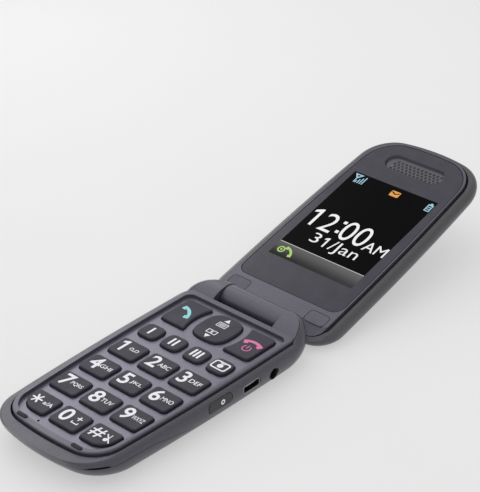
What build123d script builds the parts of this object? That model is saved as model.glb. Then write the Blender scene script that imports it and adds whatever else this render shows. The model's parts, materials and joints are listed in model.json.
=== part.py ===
from build123d import *
import math
import os

# Flip phone, in millimetres.
# The keypad half lies flat on the XY plane, +Z up, with its microphone end at -Y and its hinge at +Y.
# The origin is on the flat underside, on the centre line.
# The lid is drawn folded shut over the keypad half, then swung about the hinge to its open stop.

# Outline shared by both halves, seen from above
half_width = 26.0
base_end_y = -52.3
lid_overhang = 0.5
lid_half_width = half_width + lid_overhang
lid_end_y = base_end_y - lid_overhang
hinge_end_y = 50.8
lid_hinge_end_y = 46.0
side_taper = 2.3
taper_start_y = 20.0
end_bow_radius = 76.0
inner_bow_radius = 110.0
end_corner_radius = 13.5
hinge_corner_radius = 15.5
lid_hinge_corner_radius = 9.5

# Heights of the keypad half
base_floor = 1.0
cover_seam_z = 3.2
seam_high_z = 7.3
seam_high_reach = 25.3
seam_fall = 21.0
seam_bend_radius = 14.0
deck_bottom_z = 5.2
deck_thickness = 0.8
board_gap = 0.1
board_thickness = 0.8
dome_thickness = 0.25
mat_thickness = 0.3
key_gap_below = 0.32
key_height = 2.53
plate_thickness = 1.4
plate_below_key_top = 1.0
rim_above_plate = 1.2
shell_top_z = 9.5

# Roundings of the outer shells
side_round = 7.5
chin_round = 13.4
hinge_round = 9.5
ridge_round = 2.1
foot_step = 0.6
lid_side_round = 3.8
lid_end_round = 5.0
lid_hinge_round = 6.0
lid_ridge_end_inset = 0.9
end_corner_share = 0.15
hinge_corner_share = 0.5
lid_corner_share = 0.5
ridge_mid_share = 0.55
ridge_top_share = 0.15

# Side band and the frame inside it
side_band = 3.05
frame_half = half_width - side_band
knuckle_width = 10.0

# Hinge
hinge_y = 46.4
hinge_z = 7.8
fold_angle = 165.4
barrel_radius = 4.5
knuckle_radius = 4.8
slot_half = frame_half - knuckle_width
slot_front_y = 39.0
slot_back_wall_y = 41.3
barrel_end_gap = 0.2
knuckle_bottom_z = 4.55
knuckle_rise = 0.65
knuckle_bore = 4.45
knuckle_end_x = slot_half + knuckle_bore
shoulder_share = 0.4
ear_radius = 4.7
ear_front_y = 37.6
ear_rise = 0.85
ear_inset = 0.3
ear_round = 2.4
hinge_clearance = 0.35
cartridge_radius = 2.6
cartridge_edge_round = 0.4
cartridge_in_barrel = 6.6
pin_radius = 1.5
pin_in_barrel = 4.8
running_gap = 0.05

# Walls, frames and fits
shell_wall = 1.2
cut_reach = 200.0
frame_end_inset = 4.9
frame_corner_radius = 10.5
frame_hinge_corner = 12.5
lid_cavity_corner = 6.0
frame_hinge_y = 48.6
fit_gap = 0.15
groove_depth = 1.2
groove_open = 0.5
groove_over = 0.6
ledge_width = 0.9
rim_width = 1.45
rim_end_width = 2.3
plate_half = frame_half - rim_width
plate_end_y = base_end_y + frame_end_inset + rim_end_width
plate_top_y = 36.9
plate_corner = 8.0
plate_top_corner = 2.8
rim_round = 0.45

# Keys
key_gap = 0.15
key_draw_in = 0.2
key_edge_round = 0.5
number_side_margin = 2.42
number_end_margin = 3.89
number_top_y = 4.88
number_lane_x = 1.83
number_lane_y = 3.23
number_key_x = (2 * (plate_half - number_side_margin) - 2 * number_lane_x) / 3
number_key_y = (number_top_y - plate_end_y - number_end_margin - 3 * number_lane_y) / 4
number_pitch_x = number_key_x + number_lane_x
number_pitch_y = number_key_y + number_lane_y
number_row_y = number_top_y - number_key_y / 2
number_corner = 1.5
outer_key_corner = 5.8
outer_key_lean = 1.2
outer_key_inset = 0.3
memory_side_margin = 2.375
memory_lane = 1.95
memory_key_x = (2 * (plate_half - memory_side_margin) - 3 * memory_lane) / 4
memory_key_y = 7.6
memory_pitch = memory_key_x + memory_lane
memory_row_y = 12.44
memory_corner = 2.4
nav_width = 14.0
nav_height = 14.9
nav_bow = 0.9
nav_corner = 4.4
nav_y = 27.5
call_side_margin = 2.15
call_nav_gap = 1.2
call_outer_x = plate_half - call_side_margin
call_inner_x = nav_width / 2 + call_nav_gap
call_waist = 1.6
call_low_y = 20.1
call_high_y = 34.7
call_corner = 1.8
call_tip_corner = 0.7

number_keys = ["1", "2", "3", "4", "5", "6", "7", "8", "9", "star", "0", "hash"]
memory_keys = ["memory_1", "memory_2", "memory_3", "camera"]

# Side features on the right wall
jack_y = 25.4
jack_z = 5.35
jack_bore_radius = 1.78
jack_bore_length = 13.8
jack_nose_radius = 2.05
jack_body_y = 5.6
jack_body_z = 4.0
jack_length = 14.3
jack_sink = 0.4
jack_mouth_x = half_width - jack_sink
jack_inner_x = jack_mouth_x - jack_length
usb_y = 14.9
usb_z = 6.4
usb_width = 7.6
usb_height = 2.9
usb_wall = 0.3
usb_corner = 0.8
usb_tongue_inset = 1.8
usb_tongue_low = 0.1
usb_tongue_high = 0.7
usb_tongue_back = 0.8
usb_length = 5.2
usb_sink = 0.2
usb_mouth_x = half_width - usb_sink
usb_inner_x = usb_mouth_x - usb_length
button_y = 1.0
button_z = 7.2
button_length = 10.2
button_height = 3.2
button_corner = 1.3
button_edge_round = 0.35
button_pin_seat = 0.5
button_inner_x = half_width - 2.4
button_pin_radius = 0.6
button_pin_x = half_width - 4.9
switch_depth = 2.4
switch_length = 4.0
switch_height = 0.5
eyelet_ring = 1.5
eyelet_radius = 0.55
eyelet_z = 6.3

# Parts inside the keypad half
screw_x = frame_half - 1.55
screw_low_y = -14.0
screw_high_y = 31.0
battery_x = 2 * (screw_x - 4.4)
battery_low_y = base_end_y + 16.3
battery_high_y = 12.0
battery_y = battery_high_y - battery_low_y
battery_mid_y = (battery_low_y + battery_high_y) / 2
battery_height = 3.8
battery_corner = 1.5
bay_gap = 0.3
bay_rib = 1.0
cover_end_y = 31.0
nail_notch_length = 9.5
nail_notch_depth = 1.2
nail_notch_height = 0.7
nail_notch_turn = -38.0
rear_cavity_end_y = 36.0
contact_x = 12.0
contact_y = 1.6
contact_height = 3.0
contact_pitch = 3.5
contact_width = 1.2
contact_slot_top = 0.6
contact_slot_bottom = 2.4
contact_slot_depth = 0.5
speaker_x = 14.0
speaker_y = 7.0
speaker_height = 3.0
speaker_inner_x = 1.0
speaker_battery_gap = 2.6
speaker_corner = 1.6
speaker_cone_radius = 2.6
speaker_cone_depth = 0.3
sim_x = 15.0
sim_y = 12.0
sim_height = 1.3
sim_wall = 0.25
sim_side = 0.8
sim_inner_x = 1.5
sim_battery_gap = 3.2
motor_radius = 4.0
motor_height = 2.6
motor_x = -9.0
motor_y = rear_cavity_end_y - motor_radius - 0.4
antenna_x = 30.0
antenna_y = 6.0
antenna_height = 0.5
mic_x = -7.3
mic_y = plate_end_y + 2.0
mic_radius = 1.0
mic_hole_radius = 0.45
mic_height = 0.9
screw_head_radius = 1.1
screw_head_height = 0.8
screw_radius = 0.6
screw_reach = 1.6
bumper_x = 11.9
bumper_length = 4.2
bumper_width = 1.4
bumper_y = plate_end_y - 0.2
bumper_seat = 0.4
bumper_corner = 0.55
bumper_edge_round = 0.2

# Lid, drawn shut
lid_gap = 0.4
lid_thickness = 6.6
lid_ridge_drop = 1.0
lid_face_wall = 1.2
lid_hinge_wall = 2.4
lid_groove_open = 0.5
lid_floor_clearance = 0.35
lid_frame_end_y = lid_end_y + 2.6
lid_frame_corner = 12.6
lid_frame_thickness = 2.5
window_inset = 0.6
window_half = frame_half - window_inset
window_end_y = lid_frame_end_y + window_inset
window_hinge_y = 32.3
window_corner = 13.0
window_hinge_corner = 4.0
window_thickness = 1.2
window_edge_chamfer = 0.25
window_over = 0.6
tongue_thickness = 3.5
tongue_end_y = 44.4
ear_y = lid_end_y + 12.95
screen_side_margin = 3.99
screen_x = 2 * (window_half - screen_side_margin)
screen_y = screen_x * 4 / 3
screen_mid_y = ear_y + 35.37
panel_margin_x = 3.8
panel_margin_y = 4.4
panel_thickness = 1.9
panel_gap = 0.05
ear_length = 25.0
ear_height = 7.7
ear_slope = 0.5
ear_mesh_thickness = 0.3
receiver_length = 16.0
receiver_height = 6.4
receiver_depth = 2.6
receiver_corner = 2.0
pad_x = frame_half - 5.75
pad_y = 36.9
pad_width = 8.0
pad_height = 4.8
pad_corner = 1.3
pad_thickness = 0.55
lid_screw_head = 1.2
lid_screw_head_height = 0.8
lid_screw_radius = 0.65
lid_screw_end_gap = 0.4
lid_screw_hole_end = 0.2
boss_radius = 2.0
camera_y = 23.0
camera_size = 7.6
camera_body_height = 0.9
camera_lens_radius = 2.6
glass_width = 12.0
glass_length = 34.0
glass_y = 11.8
glass_thickness = 0.9
flash_y = 11.5
flash_width = 2.7
flash_length = 5.5
led_y = 1.9
led_radius = 0.6
lid_board_x = 2 * (frame_half - 2.95)
lid_board_low_y = -8.0
lid_board_high_y = 33.0
lid_board_thickness = 0.8
magnet_x = 8.0
magnet_y = 2.6
magnet_height = 2.0
magnet_mid_y = lid_end_y + 6.6
flex_radius = 1.9
flex_bore = 2.2
flex_layers = 0.4
flex_end_gap = 0.5

# Heights worked out from the stack
deck_top_z = deck_bottom_z + deck_thickness
board_z = deck_top_z + board_gap
dome_z = board_z + board_thickness
mat_z = dome_z + dome_thickness
mat_top_z = mat_z + mat_thickness
key_z = mat_top_z + key_gap_below
key_top_z = key_z + key_height
plate_top_z = key_top_z - plate_below_key_top
plate_z = plate_top_z - plate_thickness
rim_z = plate_top_z + rim_above_plate
lid_z = rim_z + lid_gap
lid_top_z = lid_z + lid_thickness
lid_ridge_z = lid_z + lid_ridge_drop
lid_cavity_z = lid_top_z - lid_face_wall
lid_frame_z = lid_z + lid_frame_thickness
panel_z = lid_z + window_thickness + panel_gap
lid_board_z = panel_z + panel_thickness + panel_gap


def plan_face(half, low_end, high_end, low_corner, high_corner, bow_radius):
    """Outline of a half seen from above: straight sides that draw in, and a bowed end with round corners."""
    low_half = half - side_taper
    low_y = low_end + bow_radius - math.sqrt(bow_radius**2 - low_half**2)
    face = make_face(Curve() + [
        Line((half, high_end), (half, taper_start_y)),
        TangentArc((half, taper_start_y), (low_half, low_y), tangent=(0, -1)),
        ThreePointArc((low_half, low_y), (0, low_end), (-low_half, low_y)),
        TangentArc((-half, taper_start_y), (-low_half, low_y), tangent=(0, -1)),
        Line((-half, taper_start_y), (-half, high_end)),
        Line((-half, high_end), (half, high_end)),
    ])
    face = fillet(face.vertices().sort_by(Axis.Y)[:2], low_corner)
    return fillet(face.vertices().sort_by(Axis.Y)[-2:], high_corner)


def plate_at(face, z, height):
    """A flat face raised from z by height."""
    return extrude(Pos(0, 0, z) * face, amount=height, dir=(0, 0, 1))


def tapered(low_face, z0, high_face, z1):
    """A solid that changes from one outline to another between two heights."""
    return loft([Pos(0, 0, z0) * low_face, Pos(0, 0, z1) * high_face], ruled=True)


def block(x0, x1, y0, y1, z0, z1):
    """A box between two corners."""
    return Pos((x0 + x1) / 2, (y0 + y1) / 2, (z0 + z1) / 2) * Box(x1 - x0, y1 - y0, z1 - z0)


def rod_x(x0, x1, y, z, radius):
    """A round rod along X."""
    return Pos((x0 + x1) / 2, y, z) * Rot(0, 90, 0) * Cylinder(radius, x1 - x0)


def post(x, y, z0, z1, radius):
    """An upright round post."""
    return Pos(x, y, (z0 + z1) / 2) * Cylinder(radius, z1 - z0)


def quarter_inset(height, radius):
    """How far a quarter-round edge of this radius has drawn in, at a height above where it starts."""
    drop = radius - min(height, radius)
    return radius - math.sqrt(radius**2 - drop**2)


def corner_for(inset, corner, share):
    """Plan corner radius at a level that is inset from the widest outline."""
    return max(corner - share * inset, 1.0)


# Outer forms: lofts through the plan outline at several heights

def base_form(levels, wall):
    """The keypad half's outer form, or with a wall the space inside it."""
    faces = []
    for z in levels:
        ridge = quarter_inset(shell_top_z - z, ridge_round) if wall == 0 else 0
        side = quarter_inset(z + foot_step, side_round) + ridge + wall
        chin = quarter_inset(z + foot_step, chin_round) - quarter_inset(shell_top_z, chin_round) + wall
        back = quarter_inset(z + foot_step, hinge_round) + ridge + wall
        faces.append(Pos(0, 0, z) * plan_face(half_width - side, base_end_y + chin, hinge_end_y - back,
                                              corner_for(side, end_corner_radius, end_corner_share),
                                              corner_for(side, hinge_corner_radius, hinge_corner_share),
                                              end_bow_radius))
    return loft(faces)


def lid_form():
    """The lid cover's outer form, shut: flat face uppermost, round edges, and a soft ridge below."""
    faces = []
    for depth in lid_levels:
        ridge = quarter_inset(lid_top_z - lid_ridge_z - depth, ridge_round)
        side = quarter_inset(depth + foot_step, lid_side_round) + ridge
        far = quarter_inset(depth + foot_step, lid_end_round) + ridge * lid_ridge_end_inset / ridge_round
        back = quarter_inset(depth + foot_step, lid_hinge_round) + ridge * lid_ridge_end_inset / ridge_round
        faces.append(Pos(0, 0, lid_top_z - depth)
                     * plan_face(lid_half_width - side, lid_end_y + far, lid_hinge_end_y - back,
                                 corner_for(side, end_corner_radius, lid_corner_share),
                                 corner_for(side, lid_hinge_corner_radius, lid_corner_share),
                                 end_bow_radius))
    return loft(faces)


lower_levels = [0.0, 0.4, 1.0, 1.9, 3.2, 5.0, shell_top_z - ridge_round]
upper_levels = [shell_top_z - ridge_mid_share * ridge_round, shell_top_z - ridge_top_share * ridge_round,
                shell_top_z]
inner_levels = [base_floor, base_floor + 0.5, base_floor + 1.3, base_floor + 2.6, deck_bottom_z]
wall_levels = inner_levels + [(deck_bottom_z + shell_top_z) / 2, shell_top_z]
lid_drop = lid_top_z - lid_ridge_z
lid_levels = [0.0, 0.35, 0.9, 1.9, lid_drop - ridge_round, lid_drop - ridge_mid_share * ridge_round,
              lid_drop - ridge_top_share * ridge_round, lid_drop]


# Hinge line

def shoulder_section(radius, front_y, front_z, rise):
    """Side view of what stands at the hinge: a shoulder that rises and rolls over the hinge axis."""
    top = hinge_z + radius
    middle = (front_y + shoulder_share * (hinge_y - front_y), top - rise)
    return make_face(Curve() + [
        Line((front_y, knuckle_bottom_z), (front_y, front_z)),
        ThreePointArc((front_y, front_z), middle, (hinge_y, top)),
        ThreePointArc((hinge_y, top), (hinge_y + radius * math.sqrt(0.5), hinge_z + radius * math.sqrt(0.5)),
                      (hinge_y + radius, hinge_z)),
        Line((hinge_y + radius, hinge_z), (hinge_y + radius, knuckle_bottom_z)),
        Line((hinge_y + radius, knuckle_bottom_z), (front_y, knuckle_bottom_z)),
    ])


def shoulder_block(radius, front_y, front_z, rise, side, inner_x=slot_half):
    """The shoulder section carried along X on one side of the barrel."""
    reach = 2 * half_width
    start = inner_x if side > 0 else -reach
    section = Plane.YZ.offset(start) * shoulder_section(radius, front_y, front_z, rise)
    return extrude(section, amount=reach - inner_x, dir=(1, 0, 0))


def knuckle(side):
    """One knuckle of the inner frame, standing in its pocket of the rear case."""
    block_form = shoulder_block(knuckle_radius, slot_front_y, rim_z, knuckle_rise, side)
    solid = block_form & plate_at(frame_face(0), 0, lid_top_z)
    foot = block(-half_width, half_width, 0, slot_back_wall_y + fit_gap, 0, deck_top_z)
    return solid - foot


def ear(side):
    """The outer shell's corner by a knuckle, rising to the height of the hinge."""
    form = shoulder_block(ear_radius, ear_front_y, shell_top_z, ear_rise, side)
    outline = plan_face(half_width - ear_inset, base_end_y, hinge_end_y - ear_inset, end_corner_radius,
                        hinge_corner_radius - ear_inset, end_bow_radius)
    solid = form & plate_at(outline, hinge_z, lid_top_z)
    return fillet(solid.edges().filter_by(GeomType.BSPLINE), ear_round)


def over_hinge(gap):
    """What the lid keeps clear of at the hinge, shut: both shoulders on each side, with a gap."""
    sides = [shoulder_block(knuckle_radius + gap, slot_front_y - gap, rim_z + gap, knuckle_rise, side,
                            slot_half - barrel_end_gap) for side in (-1, 1)]
    return sides[0] + sides[1]


def frame_face(grow):
    """Outline of the keypad half's inner frame, widened by a gap."""
    return plan_face(frame_half + grow, base_end_y + frame_end_inset - grow, frame_hinge_y + grow,
                     frame_corner_radius + grow, frame_hinge_corner + grow, inner_bow_radius)


def plate_face(grow):
    """Outline of the fascia between the keys, widened by a gap."""
    return plan_face(plate_half + grow, plate_end_y - grow, plate_top_y + grow,
                     plate_corner + grow, max(plate_top_corner + grow, 1.0), inner_bow_radius)


def front_case():
    """Frame round the keypad: rim, shelf in front of the barrel, and the two knuckles."""
    outline = frame_face(0)
    body = plate_at(outline, deck_top_z, rim_z - deck_top_z)
    body = fillet(body.faces().sort_by(Axis.Z)[-1].edges(), rim_round)
    body -= plate_at(plate_face(running_gap), plate_z, rim_z)
    body -= plate_at(plate_face(-ledge_width), deck_top_z - 1, plate_z)
    body -= post(mic_x, mic_y, deck_top_z - 1, plate_z + running_gap, mic_radius + fit_gap)
    body -= switch_form(fit_gap)
    body -= block(-slot_half, slot_half, slot_front_y, hinge_end_y + 10, 0, lid_top_z)
    body += knuckle(1)
    body += knuckle(-1)
    body -= hinge_bores()
    for x, y in screw_places():
        body -= post(x, y, deck_top_z - 1, deck_top_z + screw_reach, screw_radius + running_gap)
    body -= usb_envelope(fit_gap)
    body -= jack_envelope(fit_gap)
    body -= rod_x(button_pin_x - key_gap_below - fit_gap, half_width, button_y, button_z,
                  button_pin_radius + fit_gap)
    for x in (-bumper_x, bumper_x):
        body -= bumper(x, lid_z)
    return body


def hinge_bores():
    """The space that the hinge cartridge and the pin take in the knuckles."""
    cartridge = rod_x(-knuckle_end_x, -slot_half + 1, hinge_y, hinge_z, cartridge_radius + running_gap)
    return cartridge + rod_x(slot_half - 1, knuckle_end_x, hinge_y, hinge_z, pin_radius + running_gap)


def base_shell():
    """The whole outer form of the keypad half, before it is split into rear case and battery cover."""
    return base_form(lower_levels + upper_levels, 0)


def rear_case(shell):
    """Outer side band, the deck that carries the board, and the fixed underside by the hinge."""
    by_hinge = block(-cut_reach, cut_reach, cover_end_y, cut_reach, -1, cover_seam_z + fit_gap)
    core = base_form(wall_levels, shell_wall + fit_gap)
    body = (shell & above_seam(0)) + (shell & by_hinge)
    body += core & block(-cut_reach, cut_reach, -cut_reach, cut_reach, deck_bottom_z, shell_top_z - 1)
    body -= nail_notch()
    widest = fit_gap + groove_open * (groove_depth + groove_over) / groove_depth
    body -= tapered(frame_face(fit_gap), shell_top_z - groove_depth, frame_face(widest),
                    shell_top_z + groove_over)
    body += ear(1)
    body += ear(-1)
    body -= plate_at(frame_face(fit_gap), deck_top_z, lid_top_z)
    pocket = plate_at(frame_face(fit_gap), knuckle_bottom_z - fit_gap, lid_top_z)
    body -= pocket & block(-half_width, half_width, slot_back_wall_y, hinge_end_y, 0, lid_top_z)
    body -= base_form(inner_levels, shell_wall) & block(-cut_reach, cut_reach, -cut_reach,
                                                        rear_cavity_end_y, 0, deck_bottom_z)
    body += battery_ribs()
    body -= block(-slot_half, slot_half, slot_back_wall_y, hinge_end_y + 10, -1, lid_top_z)
    body -= hinge_bores()
    for x, y in screw_places():
        body -= post(x, y, deck_bottom_z - 1, deck_top_z + 1, screw_radius + running_gap)
    body -= usb_envelope(fit_gap)
    body -= jack_envelope(fit_gap)
    body -= button_form(fit_gap, frame_half - 1, half_width + 2)
    body -= eyelet()
    return body


def battery_ribs():
    """The low wall round the battery, hanging from the deck."""
    x = battery_x / 2 + bay_gap
    y0 = battery_low_y - bay_gap
    y1 = battery_high_y + bay_gap
    z0 = base_floor + bay_gap
    outer = block(-x - bay_rib, x + bay_rib, y0 - bay_rib, y1 + bay_rib, z0, deck_bottom_z)
    opening = block(-contact_x / 2 - bay_gap, contact_x / 2 + bay_gap, y1 - 1, y1 + bay_rib + 1,
                    0, deck_bottom_z)
    return outer - block(-x, x, y0, y1, 0, deck_bottom_z) - opening


def above_seam(gap):
    """All that lies above the cover's seam, less a gap: high round the microphone end, low at the sides."""
    high_y = base_end_y + seam_high_reach
    low_y = high_y + seam_fall
    high = (high_y, seam_high_z - gap)
    low = (low_y, cover_seam_z - gap)
    section = make_face(Polyline((-cut_reach, high[1]), high, low, (cut_reach, low[1]),
                                 (cut_reach, cut_reach), (-cut_reach, cut_reach), close=True))
    section = fillet(section.vertices().sort_by(Axis.X)[2:4], seam_bend_radius)
    return extrude(Plane.YZ.offset(-cut_reach) * section, amount=2 * cut_reach)


def nail_notch():
    """Slit above the seam at the right corner of the microphone end, to pull the cover off by."""
    corner_x = half_width - side_taper - end_corner_radius
    corner_y = base_end_y + end_corner_radius
    notch = Box(2 * nail_notch_depth, nail_notch_length, nail_notch_height)
    return Pos(corner_x, corner_y, seam_high_z + nail_notch_height / 2) * Rot(0, 0, nail_notch_turn) * Pos(
        end_corner_radius, 0, 0) * notch


def battery_cover(shell):
    """Removable tub under the battery, open towards the hinge so that it slides off."""
    hinge_side = block(-cut_reach, cut_reach, cover_end_y - fit_gap, cut_reach, -1, cut_reach)
    return shell - above_seam(fit_gap) - hinge_side - base_form(wall_levels, shell_wall)


def eyelet():
    """U-shaped tunnel for a wrist strap, through the right hinge-end corner of the side band."""
    centre = half_width - hinge_corner_radius
    reach = hinge_corner_radius * math.sqrt(0.5)
    return Pos(centre + reach, hinge_end_y - hinge_corner_radius + reach, eyelet_z) * Torus(eyelet_ring,
                                                                                            eyelet_radius)


def screw_places():
    """Where the four case screws stand."""
    return [(side * screw_x, y) for side in (-1, 1) for y in (screw_low_y, screw_high_y)]


def base_screws():
    """Four screws up through the deck into the frame."""
    screws = [post(x, y, deck_bottom_z - screw_head_height, deck_bottom_z, screw_head_radius)
              + post(x, y, deck_bottom_z, deck_top_z + screw_reach - running_gap, screw_radius)
              for x, y in screw_places()]
    return Compound(children=screws)


def bumper(x, top):
    """A small rubber stop that keeps the shut lid off the rim, up to a height."""
    foot = plate_top_z - bumper_seat
    return plate_at(Pos(x, bumper_y) * RectangleRounded(bumper_length, bumper_width, bumper_corner),
                    foot, top - foot)


def rim_bumpers():
    """Both rubber stops, with softened tops."""
    stops = [bumper(x, lid_z - running_gap) for x in (-bumper_x, bumper_x)]
    return Compound(children=[fillet(stop.faces().sort_by(Axis.Z)[-1].edges(), bumper_edge_round)
                              for stop in stops])


# Keypad

def bowed_key(width, height, bow, corner):
    """A key outline with four bowed sides and round corners."""
    x = width / 2 - bow
    y = height / 2 - bow
    face = make_face(Curve() + [
        ThreePointArc((-x, y), (0, height / 2), (x, y)),
        ThreePointArc((x, y), (width / 2, 0), (x, -y)),
        ThreePointArc((x, -y), (0, -height / 2), (-x, -y)),
        ThreePointArc((-x, -y), (-width / 2, 0), (-x, y)),
    ])
    return fillet(face.vertices(), corner)


def call_key_face(side, grow):
    """Call and end keys: the side next to the navigation key is hollowed to follow it."""
    outer = call_outer_x + grow
    inner = call_inner_x - grow
    low = call_low_y - grow
    high = call_high_y + grow
    face = make_face(Curve() + [
        Line((outer, low), (outer, high)),
        Line((outer, high), (inner, high)),
        ThreePointArc((inner, high), (inner + call_waist, (low + high) / 2), (inner, low)),
        Line((inner, low), (outer, low)),
    ])
    face = fillet(face.vertices().sort_by(Axis.X)[2:], call_corner + grow)
    face = fillet(face.vertices().sort_by(Axis.X)[:2], call_tip_corner + grow)
    return face if side > 0 else mirror(face, about=Plane.YZ)


def number_key_face(column, row, grow):
    """A number key; the two in the lower corners lean in and are rounded to follow the outline."""
    x = number_key_x / 2 + grow
    y = number_key_y / 2 + grow
    centre = Pos((column - 1) * number_pitch_x, number_row_y - row * number_pitch_y)
    if row < 3 or column == 1:
        return centre * RectangleRounded(2 * x, 2 * y, number_corner + grow)
    corners = [(-x, y), (x - outer_key_inset, y), (x - outer_key_lean, -y), (-x, -y)]
    face = make_face(Polyline(*corners, close=True))
    face = fillet(face.vertices().sort_by(Axis.Y)[2:], number_corner + grow)
    low = face.vertices().sort_by(Axis.Y)[:2].sort_by(Axis.X)
    face = fillet(low[0], number_corner + grow)
    low = face.vertices().sort_by(Axis.Y)[:3].sort_by(Axis.X)
    face = fillet(low[-1], outer_key_corner + grow)
    return centre * (face if column == 2 else mirror(face, about=Plane.YZ))


def key_faces(grow):
    """Every key's name and outline, widened by a gap."""
    faces = {}
    for index, name in enumerate(number_keys):
        faces["key_" + name] = number_key_face(index % 3, index // 3, grow)
    for index, name in enumerate(memory_keys):
        face = RectangleRounded(memory_key_x + 2 * grow, memory_key_y + 2 * grow, memory_corner + grow)
        faces["key_" + name] = Pos((index - 1.5) * memory_pitch, memory_row_y) * face
    faces["key_call"] = call_key_face(-1, grow)
    faces["key_end"] = call_key_face(1, grow)
    faces["nav_key"] = Pos(0, nav_y) * bowed_key(nav_width + 2 * grow, nav_height + 2 * grow, nav_bow,
                                                 nav_corner + grow)
    return faces


def key_caps():
    """Every key: drawn-in sides and a softened top edge."""
    tops = key_faces(-key_draw_in)
    caps = {}
    for name, foot in key_faces(0).items():
        cap = tapered(foot, key_z, tops[name], key_top_z)
        caps[name] = fillet(cap.faces().sort_by(Axis.Z)[-1].edges(), key_edge_round)
    return caps


def keypad_plate():
    """Fascia between the keys."""
    body = plate_at(plate_face(0), plate_z, plate_thickness)
    for face in key_faces(key_gap).values():
        body -= plate_at(face, plate_z - 1, plate_thickness + 2)
    body -= post(mic_x, mic_y, plate_z - 1, plate_top_z + 1, mic_hole_radius)
    for x in (-bumper_x, bumper_x):
        body -= bumper(x, lid_z)
    return body


def keypad_mat():
    """Silicone sheet under the keys."""
    body = plate_at(plate_face(-ledge_width - fit_gap), mat_z, mat_thickness)
    body -= jack_envelope(fit_gap)
    body -= switch_form(fit_gap)
    return body - post(mic_x, mic_y, mat_z - 1, mat_top_z + 1, mic_radius + fit_gap)


def dome_sheet():
    """Sheet that carries the snap domes under the keys."""
    body = plate_at(plate_face(-ledge_width - fit_gap), dome_z, dome_thickness)
    body -= jack_envelope(fit_gap)
    body -= switch_form(fit_gap)
    return body - post(mic_x, mic_y, dome_z - 1, mat_z + 1, mic_radius + fit_gap)


def main_board():
    """Circuit board on the deck."""
    body = plate_at(plate_face(-ledge_width - fit_gap), board_z, board_thickness)
    return body - jack_envelope(fit_gap)


# Side features

def rounded_bar_x(x0, x1, y, z, length, height, corner):
    """A bar along X whose section is a rounded rectangle."""
    section = Plane.YZ.offset(x0) * Pos(y, z) * RectangleRounded(length, height, corner)
    return extrude(section, amount=x1 - x0)


def usb_envelope(gap):
    """The space that the charging socket takes through the walls."""
    return rounded_bar_x(usb_inner_x - gap, half_width + 2, usb_y, usb_z, usb_width + 2 * gap,
                         usb_height + 2 * gap, usb_corner + 2 * gap / 3)


def micro_usb_socket():
    """Charging socket: a folded metal shell round a contact tongue."""
    body = rounded_bar_x(usb_inner_x, usb_mouth_x, usb_y, usb_z, usb_width, usb_height, usb_corner)
    body -= rounded_bar_x(usb_inner_x + usb_wall, usb_mouth_x + 1, usb_y, usb_z, usb_width - 2 * usb_wall,
                          usb_height - 2 * usb_wall, usb_corner - 2 * usb_wall / 3)
    tongue_y = usb_width / 2 - usb_tongue_inset
    return body + block(usb_inner_x, usb_mouth_x - usb_tongue_back, usb_y - tongue_y, usb_y + tongue_y,
                        usb_z + usb_tongue_low, usb_z + usb_tongue_high)


def jack_envelope(gap):
    """The space that the headset jack takes."""
    y = jack_body_y / 2 + gap
    z = jack_body_z / 2 + gap
    body = block(jack_inner_x - gap, frame_half + fit_gap, jack_y - y, jack_y + y, jack_z - z, jack_z + z)
    return body + rod_x(frame_half, half_width + 2, jack_y, jack_z, jack_nose_radius + gap / 2)


def audio_jack():
    """Headset jack: body, round nose through the side band, and a blind bore."""
    body = block(jack_inner_x, frame_half, jack_y - jack_body_y / 2, jack_y + jack_body_y / 2,
                 jack_z - jack_body_z / 2, jack_z + jack_body_z / 2)
    body += rod_x(frame_half, jack_mouth_x, jack_y, jack_z, jack_nose_radius)
    return body - rod_x(jack_mouth_x - jack_bore_length, jack_mouth_x + 1, jack_y, jack_z, jack_bore_radius)


def button_form(gap, inner_x, outer_x):
    """The side button's head, or with a gap the slot for it."""
    return rounded_bar_x(inner_x, outer_x, button_y, button_z, button_length + 2 * gap,
                         button_height + 2 * gap, button_corner + gap)


def side_button():
    """Side button: a long head in the side band with a pin to the switch."""
    body = button_form(0, button_inner_x, half_width)
    body = fillet(body.faces().sort_by(Axis.X)[-1].edges(), button_edge_round)
    return body + rod_x(button_pin_x, button_inner_x + button_pin_seat, button_y, button_z,
                        button_pin_radius)


def switch_form(gap):
    """The side button's switch on the board's edge, or with a gap the space for it."""
    x1 = button_pin_x - key_gap_below
    return block(x1 - switch_depth - gap, x1 + gap, button_y - switch_length / 2 - gap,
                 button_y + switch_length / 2 + gap, dome_z, dome_z + switch_height + gap)


# Parts that fill the keypad half

def battery():
    """Flat battery pack."""
    z0 = base_floor + bay_gap
    face = RectangleRounded(battery_x, battery_y, battery_corner)
    return plate_at(Pos(0, battery_mid_y) * face, z0, battery_height - bay_gap / 2)


def battery_contacts():
    """Three spring contacts in one block."""
    y0 = battery_high_y + bay_gap / 2
    body = block(-contact_x / 2, contact_x / 2, y0, y0 + contact_y,
                 deck_bottom_z - contact_height, deck_bottom_z)
    for x in (-contact_pitch, 0, contact_pitch):
        body -= block(x - contact_width / 2, x + contact_width / 2, y0 - 1, y0 + contact_slot_depth,
                      deck_bottom_z - contact_slot_bottom, deck_bottom_z - contact_slot_top)
    return body


def sim_card_holder():
    """Thin metal tray under the deck."""
    x0 = -sim_inner_x - sim_x
    y0 = battery_high_y + sim_battery_gap
    body = block(x0, -sim_inner_x, y0, y0 + sim_y, deck_bottom_z - sim_height, deck_bottom_z)
    slot_top = deck_bottom_z - sim_wall
    return body - block(x0 + sim_side, -sim_inner_x - sim_side, y0 - 1, y0 + sim_y - sim_side,
                        deck_bottom_z - sim_height + sim_wall, slot_top)


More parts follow.
